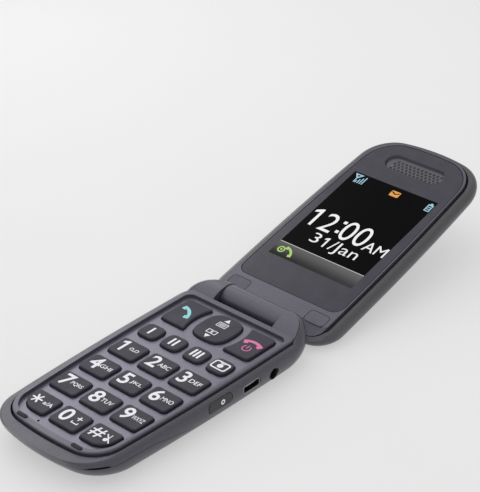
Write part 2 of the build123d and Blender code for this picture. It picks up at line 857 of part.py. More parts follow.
def loudspeaker():
    """Ringer speaker under the deck, with a round front."""
    y0 = battery_high_y + speaker_battery_gap
    face = RectangleRounded(speaker_x, speaker_y, speaker_corner)
    middle = Pos(speaker_x / 2 + speaker_inner_x, y0 + speaker_y / 2, deck_bottom_z - speaker_height)
    body = extrude(middle * face, amount=speaker_height)
    cone = Cylinder(speaker_cone_radius, speaker_cone_depth)
    return body - middle * Pos(0, 0, speaker_cone_depth / 2) * cone


def vibration_motor():
    """Coin motor that shakes the phone."""
    return post(motor_x, motor_y, deck_bottom_z - motor_height, deck_bottom_z, motor_radius)


def antenna():
    """Flat antenna under the deck at the microphone end."""
    y0 = battery_low_y - 2 * bay_gap - bay_rib
    return block(-antenna_x / 2, antenna_x / 2, y0 - antenna_y, y0,
                 deck_bottom_z - antenna_height, deck_bottom_z)


def microphone():
    """Small can on the board under its hole in the plate."""
    return post(mic_x, mic_y, dome_z, dome_z + mic_height, mic_radius)


# Hinge parts

def hinge_cartridge():
    """Friction and click unit, fixed in the left knuckle, with its nose in the barrel."""
    x0 = -knuckle_end_x + fit_gap
    x1 = -slot_half + cartridge_in_barrel
    body = rod_x(x0, x1, hinge_y, hinge_z, cartridge_radius)
    return fillet(body.edges().filter_by(GeomType.CIRCLE), cartridge_edge_round)


def hinge_pin():
    """Plain pin through the right knuckle into the barrel."""
    x1 = knuckle_end_x - fit_gap
    return rod_x(slot_half - pin_in_barrel, x1, hinge_y, hinge_z, pin_radius)


def open_lid(shape):
    """Swing a piece that is drawn shut back to the open stop."""
    return Pos(0, hinge_y, hinge_z) * Rot(-fold_angle, 0, 0) * Pos(0, -hinge_y, -hinge_z) * shape


# Lid

def barrel_section():
    """Side view of the barrel and the tongue that joins it to the lid frame."""
    rise = lid_z + tongue_thickness - hinge_z
    run = tongue_end_y - hinge_y
    distance = math.hypot(run, rise)
    angle = math.atan2(rise, run) - math.acos(barrel_radius / distance)
    touch = (hinge_y + barrel_radius * math.cos(angle), hinge_z + barrel_radius * math.sin(angle))
    front = hinge_y - math.sqrt(barrel_radius**2 - (lid_z - hinge_z)**2)
    top = lid_z + tongue_thickness
    return make_face(Curve() + [
        Line((window_hinge_y + 1.0, lid_z), (front, lid_z)),
        ThreePointArc((front, lid_z), (hinge_y + barrel_radius * math.cos(-2.2),
                                       hinge_z + barrel_radius * math.sin(-2.2)), touch),
        Line(touch, (tongue_end_y, top)),
        Line((tongue_end_y, top), (window_hinge_y + 1.0, top)),
        Line((window_hinge_y + 1.0, top), (window_hinge_y + 1.0, lid_z)),
    ])


def lid_frame():
    """Inner frame of the lid: seat for the window, flange with screw pockets, tongue and barrel."""
    barrel_half = slot_half - barrel_end_gap
    body = plate_at(lid_cavity_face(-fit_gap), lid_z, lid_frame_thickness)
    body -= over_hinge(hinge_clearance)
    tongue = extrude(Plane.YZ.offset(-barrel_half) * barrel_section(), amount=2 * barrel_half)
    body += tongue
    body -= plate_at(window_face(fit_gap / 2), lid_z - 1, window_thickness + 1)
    body -= panel_form(fit_gap, lid_z, lid_frame_z + 1)
    body -= receiver_form(fit_gap, lid_z, lid_frame_z + 1)
    for x in (-pad_x, pad_x):
        body -= pad_form(x, fit_gap / 2, lid_z - 1, lid_z + pad_thickness)
        body -= post(x, pad_y, lid_z, lid_z + pad_thickness + lid_screw_head_height + running_gap,
                     lid_screw_head + fit_gap)
        body -= post(x, pad_y, lid_z, lid_top_z, lid_screw_radius + running_gap)
    body -= rod_x(-slot_half - 1, -slot_half + cartridge_in_barrel + fit_gap, hinge_y, hinge_z,
                  cartridge_radius + running_gap)
    body -= rod_x(slot_half - pin_in_barrel - fit_gap, slot_half + 1, hinge_y, hinge_z,
                  pin_radius + running_gap)
    body -= rod_x(-slot_half + cartridge_in_barrel, slot_half - pin_in_barrel, hinge_y, hinge_z, flex_bore)
    return body


def lid_cavity_face(grow):
    """Outline of the space inside the lid cover, widened by a gap."""
    return plan_face(frame_half + fit_gap + grow, lid_frame_end_y - fit_gap - grow,
                     lid_hinge_end_y - lid_hinge_wall + grow, lid_frame_corner + grow,
                     lid_cavity_corner + grow, inner_bow_radius)


def window_face(grow):
    """Outline of the front window, widened by a gap."""
    return plan_face(window_half + grow, window_end_y - grow, window_hinge_y + grow,
                     window_corner + grow, window_hinge_corner + grow, inner_bow_radius)


def lid_cover():
    """Outer shell of the lid."""
    body = lid_form()
    body -= plate_at(lid_cavity_face(0), lid_ridge_z - 1, lid_cavity_z - lid_ridge_z + 1)
    body -= tapered(lid_cavity_face(lid_groove_open), lid_ridge_z,
                    lid_cavity_face(0), lid_ridge_z + groove_depth)
    barrel_half = slot_half - barrel_end_gap
    body -= block(-barrel_half - fit_gap, barrel_half + fit_gap, tongue_end_y - 10, lid_hinge_end_y + 5,
                  lid_z, lid_z + tongue_thickness + fit_gap)
    body -= rod_x(-lid_half_width - 1, lid_half_width + 1, hinge_y, hinge_z, knuckle_radius + hinge_clearance)
    body -= over_hinge(hinge_clearance)
    for x in (-pad_x, pad_x):
        body += post(x, pad_y, lid_frame_z + running_gap, lid_cavity_z, boss_radius)
        body -= post(x, pad_y, lid_frame_z, lid_cavity_z - lid_screw_hole_end, lid_screw_radius + running_gap)
    body -= glass_form(fit_gap / 2, lid_top_z - glass_thickness - running_gap, lid_top_z + 1)
    body -= post(0, camera_y, lid_cavity_z - 1, lid_top_z, camera_lens_radius + fit_gap)
    floor_facet = block(-cut_reach, cut_reach, -cut_reach, cut_reach, -cut_reach, lid_floor_clearance)
    return body - shut_lid(floor_facet)


def shut_lid(shape):
    """The opposite of open_lid: fold a shape from the open pose to the shut one."""
    return Pos(0, hinge_y, hinge_z) * Rot(fold_angle, 0, 0) * Pos(0, -hinge_y, -hinge_z) * shape


def stadium(length, width):
    """A face with two straight sides and round ends, lying along X."""
    return SlotOverall(length, width)


def window_plate():
    """Front window over the screen, with a slot for the earpiece."""
    body = plate_at(window_face(0), lid_z, window_thickness)
    body = chamfer(body.faces().sort_by(Axis.Z)[0].edges(), window_edge_chamfer)
    mouth = ear_face(ear_slope * window_over / (window_thickness - ear_mesh_thickness))
    floor_z = lid_z + window_thickness - ear_mesh_thickness
    body -= tapered(mouth, lid_z - window_over, ear_face(-ear_slope), floor_z)
    return body - plate_at(ear_face(-ear_slope), floor_z, window_over)


def ear_face(grow):
    """Outline of the earpiece slot at the window's face, widened by a gap."""
    return Pos(0, ear_y) * stadium(ear_length + 2 * grow, ear_height + 2 * grow)


def earpiece_mesh():
    """Thin grille at the bottom of the earpiece slot."""
    z = lid_z + window_thickness - ear_mesh_thickness
    return plate_at(ear_face(-ear_slope - running_gap), z, ear_mesh_thickness)


def receiver_form(gap, z0, z1):
    """Outline of the earpiece capsule between two heights."""
    face = RectangleRounded(receiver_length + 2 * gap, receiver_height + 2 * gap,
                            receiver_corner)
    return plate_at(Pos(0, ear_y) * face, z0, z1 - z0)


def earpiece_receiver():
    """Earpiece capsule behind its grille."""
    z = lid_z + window_thickness + panel_gap
    return receiver_form(0, z, z + receiver_depth)


def panel_form(gap, z0, z1):
    """Outline of the display module between two heights."""
    x = (screen_x + panel_margin_x) / 2 + gap
    y = (screen_y + panel_margin_y) / 2 + gap
    return block(-x, x, screen_mid_y - y, screen_mid_y + y, z0, z1)


def display_panel():
    """Display module behind the window."""
    return panel_form(0, panel_z, panel_z + panel_thickness)


def pad_form(x, gap, z0, z1):
    """Outline of a screw cover pad between two heights."""
    face = RectangleRounded(pad_width + 2 * gap, pad_height + 2 * gap, pad_corner)
    return plate_at(Pos(x, pad_y) * face, z0, z1 - z0)


def screw_covers():
    """Two soft pads that hide the lid screws."""
    return Compound(children=[pad_form(x, 0, lid_z, lid_z + pad_thickness - running_gap)
                              for x in (-pad_x, pad_x)])


def lid_screws():
    """Two screws from the flange into the cover's bosses."""
    z0 = lid_z + pad_thickness + running_gap
    screws = [post(x, pad_y, z0, z0 + lid_screw_head_height, lid_screw_head)
              + post(x, pad_y, z0, lid_cavity_z - lid_screw_end_gap, lid_screw_radius)
              for x in (-pad_x, pad_x)]
    return Compound(children=screws)


def lid_board():
    """Circuit board behind the display."""
    return block(-lid_board_x / 2, lid_board_x / 2, lid_board_low_y, lid_board_high_y, lid_board_z,
                 lid_board_z + lid_board_thickness)


def glass_form(gap, z0, z1):
    """The long camera window, standing along Y."""
    face = stadium(glass_length + 2 * gap, glass_width + 2 * gap)
    return plate_at(Pos(0, glass_y) * Rot(0, 0, 90) * face, z0, z1 - z0)


def flash_form(gap, z0, z1):
    """The flash lens, a short pill along Y."""
    face = stadium(flash_length + 2 * gap, flash_width + 2 * gap)
    return plate_at(Pos(0, flash_y) * Rot(0, 0, 90) * face, z0, z1 - z0)


def camera_window():
    """Dark window over camera, flash and light."""
    z0 = lid_top_z - glass_thickness
    body = glass_form(0, z0, lid_top_z)
    body -= flash_form(running_gap, z0 - 1, lid_top_z + 1)
    return body - post(0, led_y, z0 - 1, lid_top_z + 1, led_radius + running_gap)


def flash_lens():
    """Lens of the flash."""
    return flash_form(0, lid_top_z - glass_thickness, lid_top_z)


def led_lens():
    """Small light that shows charging and calls."""
    return post(0, led_y, lid_top_z - glass_thickness, lid_top_z, led_radius)


def camera_module():
    """Camera: square base on the board and a round lens barrel."""
    z0 = lid_board_z + lid_board_thickness
    half = camera_size / 2
    body = block(-half, half, camera_y - half, camera_y + half, z0, z0 + camera_body_height)
    top = lid_top_z - glass_thickness - running_gap - fit_gap
    return body + post(0, camera_y, z0, top, camera_lens_radius)


def closing_magnet():
    """Magnet that tells the phone the lid is shut."""
    return block(-magnet_x / 2, magnet_x / 2, magnet_mid_y - magnet_y / 2, magnet_mid_y + magnet_y / 2,
                 lid_frame_z, lid_frame_z + magnet_height)


def flex_roll():
    """Flat cable to the display, coiled inside the barrel."""
    x0 = -slot_half + cartridge_in_barrel + flex_end_gap
    x1 = slot_half - pin_in_barrel - flex_end_gap
    return rod_x(x0, x1, hinge_y, hinge_z, flex_radius) - rod_x(x0 - 1, x1 + 1, hinge_y, hinge_z,
                                                               flex_radius - flex_layers)


def build():
    """Every sub-part by name, at rest."""
    shell = base_shell()
    parts = {
        "base_front_case": front_case(),
        "base_rear_case": rear_case(shell),
        "battery_cover": battery_cover(shell),
        "keypad_plate": keypad_plate(),
        "keypad_mat": keypad_mat(),
        "dome_sheet": dome_sheet(),
        "main_board": main_board(),
        "battery": battery(),
        "battery_contacts": battery_contacts(),
        "sim_card_holder": sim_card_holder(),
        "loudspeaker": loudspeaker(),
        "vibration_motor": vibration_motor(),
        "antenna": antenna(),
        "microphone": microphone(),
        "micro_usb_socket": micro_usb_socket(),
        "audio_jack": audio_jack(),
        "side_button": side_button(),
        "side_switch": switch_form(0),
        "base_screws": base_screws(),
        "rim_bumpers": rim_bumpers(),
        "hinge_cartridge": hinge_cartridge(),
        "hinge_pin": hinge_pin(),
    }
    parts.update(key_caps())
    lid = {
        "lid_cover": lid_cover(),
        "lid_frame": lid_frame(),
        "window_plate": window_plate(),
        "display_panel": display_panel(),
        "earpiece_mesh": earpiece_mesh(),
        "earpiece_receiver": earpiece_receiver(),
        "screw_covers": screw_covers(),
        "lid_screws": lid_screws(),
        "lid_board": lid_board(),
        "camera_module": camera_module(),
        "camera_window": camera_window(),
        "flash_lens": flash_lens(),
        "led_lens": led_lens(),
        "closing_magnet": closing_magnet(),
        "flex_roll": flex_roll(),
    }
    for name, shape in lid.items():
        parts[name] = open_lid(shape)
    return parts


os.makedirs("parts", exist_ok=True)
for name, shape in build().items():
    export_step(shape, "parts/" + name + ".step")
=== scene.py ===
import bpy
import json
import math
import numpy as np
from mathutils import Matrix, Vector


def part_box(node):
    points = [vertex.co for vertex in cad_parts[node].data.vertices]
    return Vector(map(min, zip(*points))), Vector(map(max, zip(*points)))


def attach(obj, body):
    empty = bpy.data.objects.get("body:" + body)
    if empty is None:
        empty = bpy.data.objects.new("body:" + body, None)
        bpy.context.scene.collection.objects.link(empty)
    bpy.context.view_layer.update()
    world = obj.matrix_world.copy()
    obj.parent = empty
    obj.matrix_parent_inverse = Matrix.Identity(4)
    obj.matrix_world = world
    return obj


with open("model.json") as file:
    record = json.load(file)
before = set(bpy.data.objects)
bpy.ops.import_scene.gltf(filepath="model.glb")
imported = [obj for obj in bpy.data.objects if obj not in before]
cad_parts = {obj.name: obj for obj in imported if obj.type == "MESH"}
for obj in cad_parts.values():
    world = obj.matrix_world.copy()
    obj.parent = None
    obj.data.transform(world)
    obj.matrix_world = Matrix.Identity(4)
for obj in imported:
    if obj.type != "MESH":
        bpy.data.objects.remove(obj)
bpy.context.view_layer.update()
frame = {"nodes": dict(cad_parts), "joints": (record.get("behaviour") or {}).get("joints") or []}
nodes = frame["nodes"]
print("frame loaded:", len(nodes), "nodes")

mm = 0.001  # sizes below are in millimetres, meshes in metres


# Small helpers

def linearColour(hexCode):  # an sRGB hex value turned to the linear colour that shaders take
    parts = [int(hexCode[i:i + 2], 16) / 255 for i in (1, 3, 5)]
    return tuple(c / 12.92 if c <= 0.04045 else ((c + 0.055) / 1.055) ** 2.4 for c in parts) + (1.0,)


def addNode(tree, kind, inputs=None, **settings):
    # one shader node with its settings; inputs are values or links, by a socket's name or number
    node = tree.nodes.new(kind)
    for name, value in settings.items():
        setattr(node, name, value)
    for socket, value in (inputs or {}).items():
        if isinstance(value, bpy.types.NodeSocket):
            tree.links.new(value, node.inputs[socket])
        else:
            node.inputs[socket].default_value = value
    return node


def newMaterial(name):  # an empty material, ready for its nodes
    material = bpy.data.materials.new(name)
    material.use_nodes = True
    material.node_tree.nodes.clear()
    return material, material.node_tree


def patternScale(size):  # the scale of a Noise whose features measure this many millimetres
    return 1000 / size


def meshPoints(mesh):
    points = np.empty(len(mesh.vertices) * 3)
    mesh.vertices.foreach_get("co", points)
    return points.reshape(-1, 3)


def setPoints(mesh, points):
    mesh.vertices.foreach_set("co", points.ravel())
    mesh.update()


# Materials, each named for what the real one is

tintSpan = (0.35, 0.65)  # noise values that give the darkest and the lightest tint
glossSpan = (0.3, 0.7)  # noise values that give the smoothest and the roughest patch


def variedSurface(name, dark, light, grain, wave, grit, depth, low, high, **shaderValues):
    # colour wanders from dark to light over the grain, roughness from low to high over the wave,
    # and the grit stands up by depth; grain, wave, grit and depth are millimetres
    material, tree = newMaterial(name)
    place = addNode(tree, "ShaderNodeTexCoord").outputs["Object"]
    fine = addNode(tree, "ShaderNodeTexNoise", {"Vector": place, "Scale": patternScale(grain),
                                                "Detail": 3.0, "Roughness": 0.6})
    broad = addNode(tree, "ShaderNodeTexNoise", {"Vector": place, "Scale": patternScale(wave),
                                                 "Detail": 2.0})
    bumps = addNode(tree, "ShaderNodeTexNoise", {"Vector": place, "Scale": patternScale(grit),
                                                 "Detail": 1.0})
    tint = addNode(tree, "ShaderNodeMapRange", {"Value": fine.outputs["Fac"], "From Min": tintSpan[0],
                                                "From Max": tintSpan[1]})
    # a Mix node's colours go by number: 6 and 7 in, 2 out
    colour = addNode(tree, "ShaderNodeMix", {"Factor": tint.outputs["Result"], 6: linearColour(dark),
                                             7: linearColour(light)}, data_type="RGBA")
    gloss = addNode(tree, "ShaderNodeMapRange", {"Value": broad.outputs["Fac"], "From Min": glossSpan[0],
                                                 "From Max": glossSpan[1], "To Min": low, "To Max": high})
    bump = addNode(tree, "ShaderNodeBump", {"Height": bumps.outputs["Fac"], "Strength": 1.0,
                                            "Distance": depth * mm})
    shader = addNode(tree, "ShaderNodeBsdfPrincipled", {"Base Color": colour.outputs[2],
                                                        "Roughness": gloss.outputs["Result"],
                                                        "Normal": bump.outputs["Normal"], **shaderValues})
    addNode(tree, "ShaderNodeOutputMaterial", {"Surface": shader.outputs["BSDF"]})
    return material


def lacqueredAbs(name, dark, light):
    # moulded ABS under silver-grey metallic lacquer: fine aluminium flakes and a broad satin highlight
    return variedSurface(name, dark, light, grain=0.4, wave=9.0, grit=1.1, depth=0.004, low=0.3, high=0.37,
                         Metallic=0.45, IOR=1.5, **{"Coat Weight": 0.15, "Coat Roughness": 0.3})


def softTouchPolycarbonate(name, dark, light):
    # keys: polycarbonate under a matt soft-touch coat that mirrors little, with the mould's fine stipple
    return variedSurface(name, dark, light, grain=0.5, wave=5.0, grit=0.3, depth=0.006, low=0.5, high=0.6,
                         IOR=1.58, **{"Specular IOR Level": 0.3})


def hardCoatedAcrylic(name, dark, light, mirror=0.5, low=0.1, high=0.14):
    # acrylic painted from behind, so the colour is calm; mirror is how much its hard coat reflects
    return variedSurface(name, dark, light, grain=6.0, wave=14.0, grit=9.0, depth=0.002, low=low, high=high,
                         IOR=1.49, **{"Specular IOR Level": mirror})


def siliconeRubber(name, dark, light):
    # moulded silicone: matt, slightly dusty, no sharp reflection
    return variedSurface(name, dark, light, grain=0.8, wave=3.0, grit=0.4, depth=0.01, low=0.65, high=0.8,
                         IOR=1.41)


def stainlessSteel(name, dark, light):
    # rolled sheet and turned pins: bright metal with fine marks
    return variedSurface(name, dark, light, grain=0.25, wave=2.0, grit=0.15, depth=0.002, low=0.22,
                         high=0.38, Metallic=1.0)


def mouldedNylon(name, dark, light):
    # inner mouldings, wraps and films: plain matt plastic
    return variedSurface(name, dark, light, grain=1.2, wave=4.0, grit=0.5, depth=0.01, low=0.5, high=0.62,
                         IOR=1.53)


def epoxyBoard(name, dark, light):
    # glass laminate under green solder mask
    return variedSurface(name, dark, light, grain=1.6, wave=5.0, grit=0.8, depth=0.01, low=0.3, high=0.42,
                         IOR=1.55)


def legendInk(name, light, dark):
    # pad-printed ink on the keys: flat colour, a touch glossier than the key
    return variedSurface(name, dark, light, grain=0.5, wave=2.0, grit=0.4, depth=0.002, low=0.4, high=0.5,
                         IOR=1.5)


pixels = {"grain": 0.6, "dimmest": 0.94, "glow": 0.95, "glass": "#101010", "roughness": 0.3, "IOR": 1.49}


def litPixels(name, colour):
    # picture on the liquid crystal display: it gives its own light, seen through the glossy front
    material, tree = newMaterial(name)
    place = addNode(tree, "ShaderNodeTexCoord").outputs["Object"]
    rows = addNode(tree, "ShaderNodeTexNoise", {"Vector": place, "Scale": patternScale(pixels["grain"]),
                                                "Detail": 1.0})
    level = addNode(tree, "ShaderNodeMapRange", {"Value": rows.outputs["Fac"], "To Min": pixels["dimmest"],
                                                 "To Max": 1.0})
    light = addNode(tree, "ShaderNodeMix", {"Factor": level.outputs["Result"], 6: linearColour("#000000"),
                                            7: linearColour(colour)}, data_type="RGBA")
    shader = addNode(tree, "ShaderNodeBsdfPrincipled", {"Base Color": linearColour(pixels["glass"]),
                                                        "Roughness": pixels["roughness"],
                                                        "IOR": pixels["IOR"],
                                                        "Emission Color": light.outputs[2],
                                                        "Emission Strength": pixels["glow"]})
    addNode(tree, "ShaderNodeOutputMaterial", {"Surface": shader.outputs["BSDF"]})
    return material


shellLacquer = lacqueredAbs("greyMetallicLacquerShell", "#46464e", "#505058")
frameLacquer = lacqueredAbs("greyMetallicLacquerFrame", "#52515c", "#5c5b66")
fasciaLacquer = lacqueredAbs("lilacGreyMetallicLacquer", "#6c6a78", "#787684")
lidLacquer = lacqueredAbs("greyMetallicLacquerLid", "#4a4a4c", "#545457")
keyPlastic = softTouchPolycarbonate("charcoalSoftTouchKeys", "#2d2b36", "#34323e")
buttonPlastic = softTouchPolycarbonate("greySoftTouchButton", "#343436", "#3b3b3e")
windowAcrylic = hardCoatedAcrylic("greyBackPaintedAcrylic", "#3a3942", "#403f49", mirror=0.3, low=0.2,
                                  high=0.26)
displayGlass = hardCoatedAcrylic("blackDisplayGlass", "#030303", "#040404", mirror=0.03, low=0.25,
                                 high=0.3)
cameraAcrylic = hardCoatedAcrylic("blackCameraAcrylic", "#060607", "#0a0a0c", mirror=0.2)
meshLacquer = lacqueredAbs("greyMetallicLacquerMesh", "#52525a", "#5e5e66")
padRubber = siliconeRubber("greySoftPadRubber", "#5f5e69", "#676672")
bumperRubber = siliconeRubber("darkBumperRubber", "#26262a", "#303036")
matSilicone = siliconeRubber("milkySiliconeMat", "#b5b8bd", "#c6c9ce")
bareSteel = stainlessSteel("bareStainlessSteel", "#a8a8aa", "#bcbcbe")
socketSteel = stainlessSteel("tinPlatedSocketSteel", "#8c8c8e", "#9c9c9f")
platedMagnet = stainlessSteel("nickelPlatedMagnet", "#8c8c90", "#a0a0a4")
blackNylon = mouldedNylon("blackMouldedNylon", "#141416", "#1c1c1f")
cellWrap = mouldedNylon("darkBatteryWrap", "#1d1d22", "#26262c")
amberFlex = mouldedNylon("amberPolyimideFlex", "#a8641f", "#bf762c")
greenBoard = epoxyBoard("greenSolderMask", "#12482a", "#1a5a36")
milkyLens = hardCoatedAcrylic("milkyPolycarbonateLens", "#d4d3cc", "#e2e1da")
# painted shade: a near-black matt plastic laid where the insides of holes and narrow gaps would lie in
# shadow
holeShadow = mouldedNylon("unlitHole", "#060607", "#0a0a0b")
whiteInk = legendInk("whiteLegendInk", "#f6f5fa", "#eceaf2")
cyanInk = legendInk("paleCyanLegendInk", "#98dde2", "#88d2d8")
pinkInk = legendInk("pinkLegendInk", "#e677a8", "#dc6c9e")

finishes = {
    "base_front_case": frameLacquer, "base_rear_case": shellLacquer, "battery_cover": shellLacquer,
    "keypad_plate": fasciaLacquer, "keypad_mat": matSilicone, "dome_sheet": bareSteel,
    "main_board": greenBoard, "battery": cellWrap, "battery_contacts": blackNylon,
    "sim_card_holder": bareSteel, "loudspeaker": blackNylon, "vibration_motor": bareSteel,
    "antenna": amberFlex, "microphone": bareSteel, "micro_usb_socket": socketSteel, "audio_jack": blackNylon,
    "side_button": buttonPlastic, "side_switch": blackNylon, "base_screws": bareSteel,
    "rim_bumpers": bumperRubber, "hinge_cartridge": bareSteel, "hinge_pin": bareSteel,
    "lid_cover": lidLacquer, "lid_frame": frameLacquer, "window_plate": windowAcrylic,
    "display_panel": displayGlass, "earpiece_mesh": meshLacquer, "earpiece_receiver": blackNylon,
    "screw_covers": padRubber, "lid_screws": bareSteel, "lid_board": greenBoard,
    "camera_module": blackNylon, "camera_window": cameraAcrylic, "flash_lens": milkyLens,
    "led_lens": milkyLens, "closing_magnet": platedMagnet, "flex_roll": amberFlex,
}
for nodeName, node in nodes.items():
    finish = finishes.get(nodeName, keyPlastic)  # every node that isn't listed is a key
    if not node.material_slots:
        node.data.materials.append(finish)
    for holder in node.material_slots:
        holder.material = finish
print("materials on", len(nodes), "nodes")


# Where things are: the lid's flat faces are found by folding its nodes shut

hinge = next(joint for joint in frame["joints"] if joint["name"] == "lid_hinge")
hingePoint = Vector(hinge["pos_m"])
foldTurn = Matrix.Rotation(math.radians(hinge["range_deg"][1]), 4, "X")
foldShut = Matrix.Translation(hingePoint) @ foldTurn @ Matrix.Translation(-hingePoint)
foldOpen = foldShut.inverted()


def shutBox(nodeName):  # lowest and highest corner of a lid node when the phone is folded
    turn = np.array(foldShut)
    points = meshPoints(nodes[nodeName].data) @ turn[:3, :3].T + turn[:3, 3]
    return Vector(points.min(0)), Vector(points.max(0))


def innerFace(y, z):  # a place on the lid's inner side: x across, y away from the hinge, z out of the face
    return foldOpen @ Matrix.Translation((0, y, z)) @ Matrix.Rotation(math.pi, 4, "X")


def keyPlace(nodeName):  # a key's own place: its centre, on its top
    low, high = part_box(nodeName)
    return Matrix.Translation(((low.x + high.x) / 2, (low.y + high.y) / 2, high.z))


def keyLevel(nodeName):  # the phone's own axes, raised to a key's top
    return Matrix.Translation((0, 0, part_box(nodeName)[1].z))


screen = {"width": 36.72, "height": 48.96, "corner": 0.3, "thick": 0.012}
halfScreen = screen["width"] / 2
panelLow, panelHigh = shutBox("display_panel")
screenFoot = (panelLow.y + panelHigh.y) / 2 + screen["height"] * mm / 2
# the screen's own place: x across, y up the screen from its lower edge, z out of the glass
screenPlace = innerFace(screenFoot, shutBox("window_plate")[0].z)


# Flat marks: outlines are arrays of points in millimetres, filled odd-even and raised a little

markThickness = 0.03  # a printed mark stands this far out of its surface
layerStep = 0.002  # of marks that cross, each stands this much higher than the one before


def layered(index):
    return markThickness + layerStep * index


def keySurface(nodeName, ink=whiteInk, findPlace=keyPlace):  # where a legend on a key lies, and its ink
    return {"place": findPlace(nodeName), "finish": ink, "body": nodeName, "slotName": "key_charcoal"}


def lidSurface(place, finish, slotName):  # the same for a mark on the lid
    return {"place": place, "finish": finish, "body": "lid", "slotName": slotName}


def addPiece(name, mesh, place, finish, body, slotName):
    mesh.transform(place)
    piece = bpy.data.objects.new(name, mesh)
    bpy.context.scene.collection.objects.link(piece)
    piece.data.materials.clear()
    piece.data.materials.append(finish)
    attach(piece, body)
    return piece


def raisedMesh(curve, thickness):
    # a filled curve or text as a mesh, one unit thick about its plane, then stood on that plane:
    # z is (z + 0.5) times the thickness
    curve.extrude = 0.5
    holder = bpy.data.objects.new("drawing", curve)
    bpy.context.scene.collection.objects.link(holder)
    bpy.context.view_layer.update()
    mesh = bpy.data.meshes.new_from_object(holder.evaluated_get(bpy.context.evaluated_depsgraph_get()))
    bpy.data.objects.remove(holder)
    points = meshPoints(mesh)
    points[:, 2] = (points[:, 2] + 0.5) * thickness
    return mesh, points


def flatMark(name, outlines, surface, thickness=markThickness):
    curve = bpy.data.curves.new(name, "CURVE")
    curve.dimensions = "2D"
    curve.fill_mode = "BOTH"
    for outline in outlines:
        spline = curve.splines.new("POLY")
        spline.points.add(len(outline) - 1)
        flat = np.zeros((len(outline), 4))
        flat[:, :2] = outline
        flat[:, 3] = 1
        spline.points.foreach_set("co", flat.ravel())
        spline.use_cyclic_u = True
    mesh, points = raisedMesh(curve, thickness)
    setPoints(mesh, points * mm)
    return addPiece(name, mesh, **surface)


def lettering(name, text, area, surface, weight=0.0):
    # the text fills its area: left, right, foot, head; with no right it keeps its own proportions
    curve = bpy.data.curves.new(name, "FONT")
    curve.body = text
    curve.offset = weight
    mesh, points = raisedMesh(curve, markThickness)
    low, high = points.min(0), points.max(0)
    left, right, foot, head = area
    tall = (head - foot) / (high[1] - low[1])
    wide = tall if right is None else (right - left) / (high[0] - low[0])
    points[:, 0] = left + (points[:, 0] - low[0]) * wide
    points[:, 1] = foot + (points[:, 1] - low[1]) * tall
    setPoints(mesh, points * mm)
    return addPiece(name, mesh, **surface)


# Outlines. In the dictionaries that follow, a box is left, right, foot, head and a disc is x, y, radius

def disc(x, y, radius, count=40):  # a circle: centre plus radius times cosine and sine
    turn = np.linspace(0, 2 * np.pi, count, endpoint=False)
    return np.stack([x + radius * np.cos(turn), y + radius * np.sin(turn)], 1)


def ring(x, y, outer, inner):  # a disc and the disc cut out of it
    return [disc(x, y, outer), disc(x, y, inner)]


def roundedBox(left, right, foot, head, corner, count=8):  # four quarter circles round a rectangle
    turn = np.linspace(0, np.pi / 2, count)
    quarter = np.stack([np.cos(turn), np.sin(turn)], 1) * corner
    spin = np.array([[0, -1], [1, 0]])
    centres = [(right - corner, head - corner), (left + corner, head - corner),
               (left + corner, foot + corner), (right - corner, foot + corner)]
    rows = []
    for centre in centres:
        rows.append(quarter + centre)
        quarter = quarter @ spin.T
    return np.concatenate(rows)


def centredBox(x, y, halfWidth, halfHeight, corner):
    return roundedBox(x - halfWidth, x + halfWidth, y - halfHeight, y + halfHeight, corner)


def hollowBox(left, right, foot, head, line, corners):  # a rounded box and the one cut out of it
    return [roundedBox(left, right, foot, head, corners[0]),
            roundedBox(left + line, right - line, foot + line, head - line, corners[1])]


def trough(left, right, foot, head, wall, floor):  # a box with a smaller box cut out of its top
    return np.array([[left, head], [left, foot], [right, foot], [right, head], [right - wall, head],
                     [right - wall, foot + floor], [left + wall, foot + floor], [left + wall, head]])


def dippedBand(left, right, head, dip, line):  # a band that falls from both sides to a dip in its middle
    middle = (left + right) / 2
    return np.array([[left, head], [middle, dip + line], [right, head], [right, head - line],
                     [middle, dip], [left, head - line]])


def turned(outline, angle, x=0.0, y=0.0):  # an outline turned about its origin, then moved
    c, s = math.cos(math.radians(angle)), math.sin(math.radians(angle))
    return outline @ np.array([[c, s], [-s, c]]) + (x, y)


def arcBand(x, y, radius, width, start, end, count=32):  # a strip that follows a circle between two angles
    turn = np.radians(np.linspace(start, end, count))
    ray = np.stack([np.cos(turn), np.sin(turn)], 1)
    return np.concatenate([ray * (radius + width / 2), (ray * (radius - width / 2))[::-1]]) + (x, y)


flagShape = {"tip": 0.7, "outer": 0.15, "inner": 0.06}  # tip in strokes, outer and inner fall in heights


def figureOne(right, foot, head, stroke, flag):
    # a digit one: an upright with a flag that falls to its left and is a stroke thick at its end
    left, tall = right - stroke, head - foot
    end, root = head - flagShape["outer"] * tall, head - flagShape["inner"] * tall - stroke
    return np.array([[left, foot], [right, foot], [right, head], [right - flagShape["tip"] * stroke, head],
                     [left - flag, end], [left - flag, end - stroke], [left, root]])


# Key legends

numberLegend = {"area": (-4.0, None, -2.5, 3.35), "weight": 0.018}
numberOne = {"right": -1.75, "foot": -2.5, "head": 3.35, "stroke": 0.95, "flag": 1.25}
letterLegend = {"area": (0.0, 4.7, -0.65, 1.2), "weight": 0.009}
letters = {"2": "ABC", "3": "DEF", "4": "GHI", "5": "JKL", "6": "MNO", "7": "PQRS", "8": "TUV", "9": "WXYZ"}
for digit in "1234567890":
    surface = keySurface("key_" + digit)
    if digit == "1":
        flatMark("digit_1", [figureOne(**numberOne)], surface)
    else:
        lettering("digit_" + digit, digit, numberLegend["area"], surface, numberLegend["weight"])
    if digit in letters:
        lettering("letters_" + digit, letters[digit], letterLegend["area"], surface, letterLegend["weight"])

